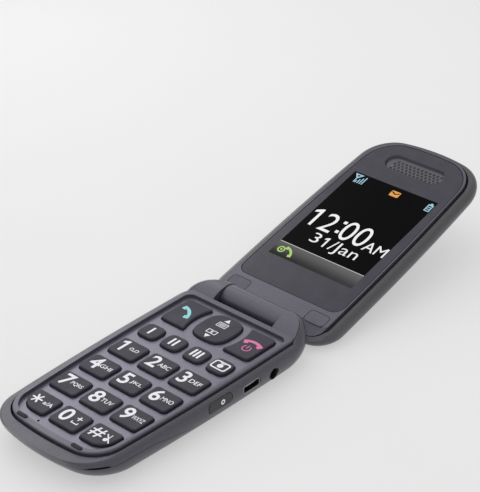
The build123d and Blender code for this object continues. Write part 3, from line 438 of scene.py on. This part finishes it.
voicemail = {"left": 1.0, "right": 3.2, "y": 0.5, "outer": 0.76, "inner": 0.48, "corner": 0.1}
surface = keySurface("key_1")
for markName, x in (("voicemail_mark", voicemail["left"]), ("voicemail_mark_right", voicemail["right"])):
    flatMark(markName, ring(x, voicemail["y"], voicemail["outer"], voicemail["inner"]), surface)
flatMark("voicemail_bar",
         [roundedBox(voicemail["left"], voicemail["right"], voicemail["y"] - voicemail["outer"],
                     voicemail["y"] - voicemail["inner"], voicemail["corner"])], surface)

star = {"x": -1.85, "y": 0.25, "reach": 2.15, "width": 0.62, "corner": 0.2, "spokes": 3}
starLetters = {"area": (1.1, 4.9, -0.75, 1.0), "weight": 0.014}
surface = keySurface("key_star")
spoke = centredBox(0, 0, star["width"] / 2, star["reach"], star["corner"])
for index in range(star["spokes"]):
    angle = (index + 0.5) * 180 / star["spokes"]
    flatMark("star_spoke_%d" % index, [turned(spoke, angle, star["x"], star["y"])], surface, layered(index))
lettering("star_letters", "a/A", starLetters["area"], surface, starLetters["weight"])

hashMark = {"area": (-4.3, 0.5, -2.0, 2.7), "weight": 0.006}
silentMark = {"note": (2.35, -0.7, 0.75), "stem": (2.63, 2.95, -0.7, 2.2), "corner": 0.1}
silentSlash = {"x": 2.75, "y": 0.2, "halfWidth": 0.21, "reach": 2.3, "corner": 0.1, "turn": 45}
surface = keySurface("key_hash")
lettering("hash_mark", "#", hashMark["area"], surface, hashMark["weight"])
flatMark("silent_note", [disc(*silentMark["note"])], surface)
flatMark("silent_stem", [roundedBox(*silentMark["stem"], silentMark["corner"])], surface, layered(1))
slash = centredBox(0, 0, silentSlash["halfWidth"], silentSlash["reach"], silentSlash["corner"])
flatMark("silent_slash", [turned(slash, silentSlash["turn"], silentSlash["x"], silentSlash["y"])], surface,
         layered(2))

plusMark = {"x": 2.65, "y": 1.3, "reach": 1.0, "halfWidth": 0.21, "corner": 0.1}
spaceBar = {"box": (1.3, 4.0, -1.5, -0.55), "wall": 0.4, "floor": 0.38}
surface = keySurface("key_0")
plusBar = centredBox(0, 0, plusMark["reach"], plusMark["halfWidth"], plusMark["corner"])
for index, markName in enumerate(("plus_level", "plus_upright")):
    flatMark(markName, [turned(plusBar, 90 * index, plusMark["x"], plusMark["y"])], surface, layered(index))
flatMark("space_bar_mark", [trough(*spaceBar["box"], spaceBar["wall"], spaceBar["floor"])], surface)

memoryBar = {"width": 0.8, "height": 3.9, "corner": 0.15, "pitch": {1: 0, 2: 1.7, 3: 1.45}}
for count, pitch in memoryBar["pitch"].items():
    bars = [centredBox((index - (count - 1) / 2) * pitch, 0, memoryBar["width"] / 2, memoryBar["height"] / 2,
                       memoryBar["corner"]) for index in range(count)]
    flatMark("memory_bars_%d" % count, bars, keySurface("key_memory_%d" % count))

cameraMark = {"body": (-3.1, 3.1, -2.15, 2.15), "line": 0.55, "corners": (1.0, 0.6),
              "hump": (-1.0, 1.0, 1.15, 1.75), "humpCorner": 0.2, "lens": (0, -0.1, 1.05)}
surface = keySurface("key_camera")
flatMark("camera_outline", hollowBox(*cameraMark["body"], cameraMark["line"], cameraMark["corners"]),
         surface)
flatMark("camera_hump", [roundedBox(*cameraMark["hump"], cameraMark["humpCorner"])], surface)
flatMark("camera_dot", [disc(*cameraMark["lens"])], surface)

navArrow = {"outline": np.array([[-1.1, -0.85], [1.1, -0.85], [0, 0.95]]), "up": 5.0, "down": -5.6}
navMessage = {"box": (-2.0, 2.0, 0.85, 3.35), "line": 0.25, "corners": (0.2, 0.1),
              "rows": (2.65, 2.1, 1.55), "rowHalf": 1.4, "rowThick": 0.12, "rowCorner": 0.05}
navBook = {"pages": ((-2.0, -0.1, -3.9, -1.8), (0.1, 2.0, -3.9, -1.8)), "line": 0.3, "corners": (0.2, 0.1)}
surface = keySurface("nav_key")
flatMark("nav_up", [turned(navArrow["outline"], 0, 0, navArrow["up"])], surface)
flatMark("nav_down", [turned(navArrow["outline"], 180, 0, navArrow["down"])], surface)
messageRows = [centredBox(0, y, navMessage["rowHalf"], navMessage["rowThick"], navMessage["rowCorner"])
               for y in navMessage["rows"]]
flatMark("nav_message",
         hollowBox(*navMessage["box"], navMessage["line"], navMessage["corners"]) + messageRows, surface)
flatMark("nav_book", [outline for page in navBook["pages"]
                      for outline in hollowBox(*page, navBook["line"], navBook["corners"])], surface)


# Telephone handset: an arc of grip, and at each end a square cap that reaches inwards

handset = {"radius": 5.6, "width": 1.2, "span": 64, "cap": 1.55, "reach": 1.35, "over": 0.6, "corner": 0.3}


def handsetOutlines(scale):
    half = handset["span"] / 2
    shapes = [arcBand(0, 0, handset["radius"], handset["width"], 90 - half, 90 + half)]
    cap = roundedBox(-handset["cap"] / 2, handset["cap"] / 2, -handset["reach"], handset["over"],
                     handset["corner"])
    for side in (-1, 1):
        angle = math.radians(90 + side * half)
        shapes.append(turned(cap, side * half, handset["radius"] * math.cos(angle),
                             handset["radius"] * math.sin(angle)))
    return [(shape - (0, handset["radius"])) * scale for shape in shapes]


def handsetMark(name, surface, x, y, turn, scale=1.0):  # x, y is the middle of the grip
    for index, shape in enumerate(handsetOutlines(scale)):
        flatMark("%s_%d" % (name, index), [turned(shape, turn, x, y)], surface, layered(index))


callMark = {"x": -13.5, "y": 28.3, "turn": -45}
endMark = {"x": 14.75, "y": 29.0, "turn": 0}
handsetMark("call_handset", keySurface("key_call", cyanInk, keyLevel), **callMark)
surface = keySurface("key_end", pinkInk, keyLevel)
handsetMark("end_handset", surface, **endMark)
power = {"x": 14.7, "y": 24.9, "radius": 1.45, "line": 0.36, "gap": 35, "stroke": (24.8, 26.65),
         "corner": 0.1}
flatMark("power_ring", [arcBand(power["x"], power["y"], power["radius"], power["line"], 90 + power["gap"],
                                450 - power["gap"])], surface)
flatMark("power_stroke", [roundedBox(power["x"] - power["line"] / 2, power["x"] + power["line"] / 2,
                                     *power["stroke"], power["corner"])], surface)
print("key legends drawn")


# The picture on the display, flat on the window's face

pixelWhite = litPixels("litPixelsWhite", "#f4f4f4")
pixelBlue = litPixels("litPixelsBlue", "#9cc8dc")
pixelOrange = litPixels("litPixelsOrange", "#e39c40")
pixelGreen = litPixels("litPixelsGreen", "#a4cc60")
pixelLine = litPixels("litPixelsLine", "#bdb9b5")


def onScreen(name, outlines, finish, thickness=markThickness):
    return flatMark(name, outlines, lidSurface(screenPlace, finish, "display_glass"), thickness)


def screenText(name, text, area, weight=0.0):
    return lettering(name, text, area, lidSurface(screenPlace, pixelWhite, "display_glass"), weight)


onScreen("screen_face", [roundedBox(-halfScreen, halfScreen, 0, screen["height"], screen["corner"])],
         displayGlass, screen["thick"])

clockOne = {"right": -14.3, "foot": 18.0, "head": 26.9, "stroke": 1.15, "flag": 1.9}
clock = {"two": (-11.5, -6.2, 17.7, 26.9), "colon": -3.8, "dots": (19.9, 25.0), "dot": 0.68, "corner": 0.2,
         "minutes": (-2.7, 8.6, 17.3, 26.9), "half": (9.0, 18.2, 16.9, 21.5), "weight": -0.004}
dateOne = {"right": -3.2, "foot": 11.2, "head": 16.0, "stroke": 0.7, "flag": 1.0}
date = {"three": (-9.8, -6.5, 11.4, 16.2), "month": (-1.5, 10.5, 9.7, 16.1), "weight": -0.004}
softkey = {"head": 6.6, "line": (6.65, 6.95), "lineCorner": 0.05, "corner": 0.2, "thick": 0.02,
           "rise": 0.7, "spread": 0.2, "dark": "#161616", "light": "#6c6c6c", "glass": "#050505",
           "mirror": 0.08, "glow": 0.9}
onScreen("clock_one", [figureOne(**clockOne)], pixelWhite)
screenText("clock_two", "2", clock["two"], clock["weight"])
onScreen("clock_colon", [centredBox(clock["colon"], y, clock["dot"], clock["dot"], clock["corner"])
                         for y in clock["dots"]], pixelWhite)
screenText("clock_minutes", "00", clock["minutes"], clock["weight"])
screenText("clock_half", "AM", clock["half"])
screenText("date_three", "3", date["three"], date["weight"])
onScreen("date_one", [figureOne(**dateOne)], pixelWhite)
screenText("date_month", "/Jan", date["month"], date["weight"])
onScreen("softkey_line", [roundedBox(-halfScreen, halfScreen, *softkey["line"], softkey["lineCorner"])],
         pixelLine)

signal = {"bars": 4, "left": -15.1, "foot": 43.9, "width": 0.45, "pitch": 0.95, "first": 1.3, "rise": 0.9,
          "corner": 0.05, "stem": (-15.72, -15.28, 43.9, 46.4), "hollow": 0.4,
          "mast": np.array([[-17.4, 48.3], [-13.6, 48.3], [-15.5, 45.8]])}
signalBars = []
for index in range(signal["bars"]):
    barLeft = signal["left"] + index * signal["pitch"]
    barHead = signal["foot"] + signal["first"] + index * signal["rise"]
    signalBars.append(roundedBox(barLeft, barLeft + signal["width"], signal["foot"], barHead,
                                 signal["corner"]))
mastMiddle = signal["mast"].mean(0)
mastHollow = mastMiddle + (signal["mast"] - mastMiddle) * signal["hollow"]
onScreen("signal_bars", signalBars, pixelBlue)
onScreen("signal_mast", [signal["mast"], mastHollow], pixelBlue, layered(1))
onScreen("signal_mast_stem", [roundedBox(*signal["stem"], signal["corner"])], pixelBlue)

envelope = {"box": (0.1, 3.9, 44.2, 47.0), "corner": 0.4}
envelopeFlap = {"left": 0.4, "right": 3.6, "head": 46.7, "dip": 45.2, "line": 0.6}
onScreen("message_envelope", [roundedBox(*envelope["box"], envelope["corner"]), dippedBand(**envelopeFlap)],
         pixelOrange)

batteryMark = {"body": (15.8, 18.0, 43.5, 47.1), "corner": 0.2, "cap": (16.4, 17.4, 47.1, 47.75),
               "capCorner": 0.1, "cells": 3, "cell": (16.2, 17.6, 43.95, 44.55), "pitch": 0.95,
               "cellCorner": 0.05}
cells = [roundedBox(*batteryMark["cell"], batteryMark["cellCorner"]) + (0, index * batteryMark["pitch"])
         for index in range(batteryMark["cells"])]
onScreen("battery_mark", [roundedBox(*batteryMark["body"], batteryMark["corner"])] + cells, pixelBlue)
onScreen("battery_cap", [roundedBox(*batteryMark["cap"], batteryMark["capCorner"])], pixelBlue)


def shadedBar():
    # softkey bar: the liquid crystal's grey grows lighter towards its top and a little to the right
    material, tree = newMaterial("litPixelsSoftkeyBar")
    place = addNode(tree, "ShaderNodeTexCoord").outputs["Object"]
    parts = addNode(tree, "ShaderNodeSeparateXYZ", {"Vector": place})
    foot, head = (screenPlace @ Vector((0, y * mm, 0)) for y in (0, softkey["head"]))
    rise = addNode(tree, "ShaderNodeMapRange", {"Value": parts.outputs["Y"], "From Min": foot.y,
                                                "From Max": head.y, "To Max": softkey["rise"]},
                   interpolation_type="SMOOTHSTEP")
    spread = addNode(tree, "ShaderNodeMapRange", {"Value": parts.outputs["X"], "From Min": -halfScreen * mm,
                                                  "From Max": halfScreen * mm, "To Max": softkey["spread"]})
    both = addNode(tree, "ShaderNodeMath", {0: rise.outputs["Result"], 1: spread.outputs["Result"]},
                   operation="ADD")
    light = addNode(tree, "ShaderNodeMix", {"Factor": both.outputs["Value"],
                                            6: linearColour(softkey["dark"]),
                                            7: linearColour(softkey["light"])}, data_type="RGBA")
    shader = addNode(tree, "ShaderNodeBsdfPrincipled", {"Base Color": linearColour(softkey["glass"]),
                                                        "Roughness": pixels["roughness"],
                                                        "IOR": pixels["IOR"],
                                                        "Specular IOR Level": softkey["mirror"],
                                                        "Emission Color": light.outputs[2],
                                                        "Emission Strength": softkey["glow"]})
    addNode(tree, "ShaderNodeOutputMaterial", {"Surface": shader.outputs["BSDF"]})
    return material


onScreen("softkey_bar", [roundedBox(-halfScreen, halfScreen, 0.0, softkey["head"], softkey["corner"])],
         shadedBar(), softkey["thick"])

callIcon = {"x": -11.4, "y": 3.9, "turn": -45, "scale": 0.74}
callRing = {"x": -15.2, "y": 3.3, "outer": 1.5, "inner": 0.95}
callCore = {"x": -15.2, "y": 3.3, "radius": 0.45}
handsetMark("call_icon", lidSurface(screenPlace, pixelGreen, "display_glass"), **callIcon)
onScreen("call_icon_ring", ring(**callRing), pixelGreen)
onScreen("call_icon_core", [disc(**callCore)], pixelGreen)
print("display picture drawn")


# Earpiece grille: staggered rows of flat dark discs on the plain mesh plate, painted shade standing in for
# the insides of its round holes

grille = {"rows": 4, "columns": 12, "pitch": 1.72, "rowPitch": 1.32, "stagger": 0.5, "hole": 0.56,
          "x": 0.9, "y": 59.25, "sides": 14, "thick": 0.04}
grillePlace = innerFace(screenFoot, shutBox("earpiece_mesh")[0].z)
# x is pitch times the column from the middle, with each row half the stagger to one side or the other
row, column = np.mgrid[0:grille["rows"], 0:grille["columns"]]
aside = grille["stagger"] * (row % 2 - 0.5)
holeX = (column - (grille["columns"] - 1) / 2 + aside) * grille["pitch"] + grille["x"]
holeY = (row - (grille["rows"] - 1) / 2) * grille["rowPitch"] + grille["y"]
# dark discs: painted shade of the holes' insides, laid flat on the mesh
flatMark("earpiece_hole_shade_discs", [disc(x, y, grille["hole"], grille["sides"])
                            for x, y in zip(holeX.ravel(), holeY.ravel())],
         lidSurface(grillePlace, holeShadow, "mesh_dark"), grille["thick"])
print("earpiece grille made")


# Joints round the two screw covers: thin dark lines on the frame, outside each pad, painted shade of the
# narrow gap between pad and frame

padGapShade = {"halfWidth": 4.0, "halfHeight": 2.4, "corner": 1.3, "line": 0.28, "thick": 0.02,
            "sides": {"screw_cover_gap_shade_1": -1, "screw_cover_gap_shade_3": 1}}
padLow, padHigh = shutBox("screw_covers")
padX = padHigh.x / mm - padGapShade["halfWidth"]
padY = -(padLow.y + padHigh.y) / 2 / mm
surface = lidSurface(innerFace(0, padLow.z), holeShadow, "frame_satin")
for markName, side in padGapShade["sides"].items():
    outlines = [centredBox(side * padX, padY, padGapShade["halfWidth"] + grow, padGapShade["halfHeight"] + grow,
                           padGapShade["corner"] + grow) for grow in (padGapShade["line"], 0)]
    flatMark(markName, outlines, surface, padGapShade["thick"])
print("screw cover joints drawn")


# Outer camera window: a lens ring with its glass, flat on the acrylic's outer face

lensSteel = stainlessSteel("anodisedLensRing", "#7c7c80", "#8e8e93")
lensGlass = hardCoatedAcrylic("coatedLensGlass", "#34363c", "#44464c")
lens = {"outer": 2.55, "inner": 1.75, "ringThick": 0.02, "glassThick": 0.015}
moduleLow, moduleHigh = shutBox("camera_module")
lensY = (moduleLow.y + moduleHigh.y) / 2 / mm
lensPlace = foldOpen @ Matrix.Translation((0, 0, shutBox("camera_window")[1].z))
flatMark("camera_lens_ring", ring(0, lensY, lens["outer"], lens["inner"]),
         lidSurface(lensPlace, lensSteel, "camera_glass"), lens["ringThick"])
flatMark("camera_lens_glass", [disc(0, lensY, lens["inner"])],
         lidSurface(lensPlace, lensGlass, "camera_glass"), lens["glassThick"])
print("camera window dressed")


# Lip of the rear case under the barrel: it closes the view through the slot

lip = {"half": 12.9, "back": 41.2, "tip": 43.4, "middle": 0.85, "radius": 0.45, "steps": 9}


def roundNosedStrip(name, half, back, tip, middle, radius, steps):
    # a flat strip with a half-round front, carried along x:
    # y is tip - radius + radius times cosine, z is middle + radius times sine
    turn = np.linspace(-np.pi / 2, np.pi / 2, steps)
    nose = np.stack([tip - radius + radius * np.cos(turn), middle + radius * np.sin(turn)], 1)
    section = np.concatenate([[[back, middle - radius]], nose, [[back, middle + radius]]])
    count = len(section)
    points = np.concatenate([np.insert(section, 0, x, axis=1) for x in (-half, half)])
    step = np.arange(count)
    sides = np.stack([step, (step + 1) % count, (step + 1) % count + count, step + count], 1)
    mesh = bpy.data.meshes.new(name)
    mesh.from_pydata(points * mm, [], sides.tolist() + [step[::-1].tolist(), (step + count).tolist()])
    return mesh


addPiece("hinge_slot_lip", roundNosedStrip("hinge_slot_lip", **lip), Matrix.Identity(4), shellLacquer,
         "base", "shell_satin")
print("hinge slot lip made")


# Side button mark: a small white ring

buttonRing = {"x": 0.8, "y": 0.3, "outer": 0.86, "inner": 0.42}  # x along the button, y up it
buttonLow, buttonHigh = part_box("side_button")
buttonFace = Matrix.Translation((buttonHigh.x, (buttonLow.y + buttonHigh.y) / 2,
                                 (buttonLow.z + buttonHigh.z) / 2))
sidePlace = buttonFace @ Matrix.Rotation(math.pi / 2, 4, "Y") @ Matrix.Rotation(math.pi / 2, 4, "Z")
flatMark("side_button_ring", ring(**buttonRing),
         {"place": sidePlace, "finish": whiteInk, "body": "side_button", "slotName": "button_grey"})
print("side button marked")


# Floor, lights and camera

paper = {"reach": 4.0, "fibre": 40.0, "dark": "#a9a9a9", "light": "#acacac", "roughness": 0.9,
         "mirror": 0.1, "glow": 0.44}


def studioFloor():
    # pale paper on a light table: part of its brightness is its own, so shadows stay soft
    material, tree = newMaterial("palePaperFloor")
    place = addNode(tree, "ShaderNodeTexCoord").outputs["Object"]
    fibre = addNode(tree, "ShaderNodeTexNoise", {"Vector": place, "Scale": patternScale(paper["fibre"])})
    tone = addNode(tree, "ShaderNodeMix", {"Factor": fibre.outputs["Fac"], 6: linearColour(paper["dark"]),
                                           7: linearColour(paper["light"])}, data_type="RGBA")
    shader = addNode(tree, "ShaderNodeBsdfPrincipled", {"Base Color": tone.outputs[2],
                                                        "Roughness": paper["roughness"],
                                                        "Specular IOR Level": paper["mirror"],
                                                        "Emission Color": linearColour("#ffffff"),
                                                        "Emission Strength": paper["glow"]})
    addNode(tree, "ShaderNodeOutputMaterial", {"Surface": shader.outputs["BSDF"]})
    mesh = bpy.data.meshes.new("studio_floor")
    corners = np.array([[-1, -1, 0], [1, -1, 0], [1, 1, 0], [-1, 1, 0]]) * paper["reach"]
    mesh.from_pydata(corners, [], [(0, 1, 2, 3)])
    floor = bpy.data.objects.new("studio_floor", mesh)
    bpy.context.scene.collection.objects.link(floor)
    floor.data.materials.append(material)


studioFloor()

studioWalls = {"glowFrom": (-0.84, 0.46, 0.3), "dim": 0.72, "bright": 0.98, "start": 0.5, "full": 1.0}
world = bpy.data.worlds.new("paleStudio")
bpy.context.scene.world = world
world.use_nodes = True
walls = world.node_tree
background = walls.nodes["Background"]
background.inputs["Color"].default_value = linearColour("#ffffff")
# the walls are brightest towards glowFrom: their strength follows the cosine of the angle from it
towards = addNode(walls, "ShaderNodeTexCoord").outputs["Generated"]
facing = addNode(walls, "ShaderNodeVectorMath",
                 {0: towards, 1: Vector(studioWalls["glowFrom"]).normalized()}, operation="DOT_PRODUCT")
glow = addNode(walls, "ShaderNodeMapRange",
               {"Value": facing.outputs["Value"], "From Min": studioWalls["start"],
                "From Max": studioWalls["full"], "To Min": studioWalls["dim"],
                "To Max": studioWalls["bright"]}, interpolation_type="SMOOTHSTEP")
walls.links.new(glow.outputs["Result"], background.inputs["Strength"])

lamps = {  # places and sizes in metres, from the point that the lamps aim at; power in watts
    "softbox_above": {"from": (-0.6, -0.55, 1.7), "size": 2.0, "power": 5.0},
    "softbox_near": {"from": (-0.29, 0.12, 0.18), "size": 0.2, "power": 0.17},
}
aim = Vector((0, 0.03, 0.01))
for lampName, lamp in lamps.items():
    light = bpy.data.lights.new(lampName, "AREA")
    light.size = lamp["size"]
    light.energy = lamp["power"]
    holder = bpy.data.objects.new(lampName, light)
    bpy.context.scene.collection.objects.link(holder)
    holder.location = aim + Vector(lamp["from"])
    holder.rotation_euler = (aim - holder.location).to_track_quat("-Z", "Y").to_euler()

view = {"azimuth": 42.847, "elevation": 30.477, "roll": -1.045, "distance": 581.27,
        "target": (-30.24, 71.22, 9.8), "lens": 121.94, "nearest": 10.0}
azimuth, elevation, roll = (math.radians(view[key]) for key in ("azimuth", "elevation", "roll"))
away = Vector((math.sin(azimuth) * math.cos(elevation), -math.cos(azimuth) * math.cos(elevation),
               math.sin(elevation)))
level = (-away).cross(Vector((0, 0, 1))).normalized()
upright = level.cross(-away)
right = level * math.cos(roll) + upright * math.sin(roll)
up = upright * math.cos(roll) - level * math.sin(roll)
camera = bpy.data.objects.new("camera", bpy.data.cameras.new("camera"))
bpy.context.scene.collection.objects.link(camera)
camera.data.lens = view["lens"]
camera.data.clip_start = view["nearest"] * mm
stand = Matrix.Translation((Vector(view["target"]) + away * view["distance"]) * mm)
camera.matrix_world = stand @ Matrix((right, up, away)).transposed().to_4x4()
bpy.context.scene.camera = camera
bpy.context.scene.view_settings.view_transform = "Standard"
print("floor, lights and camera placed")
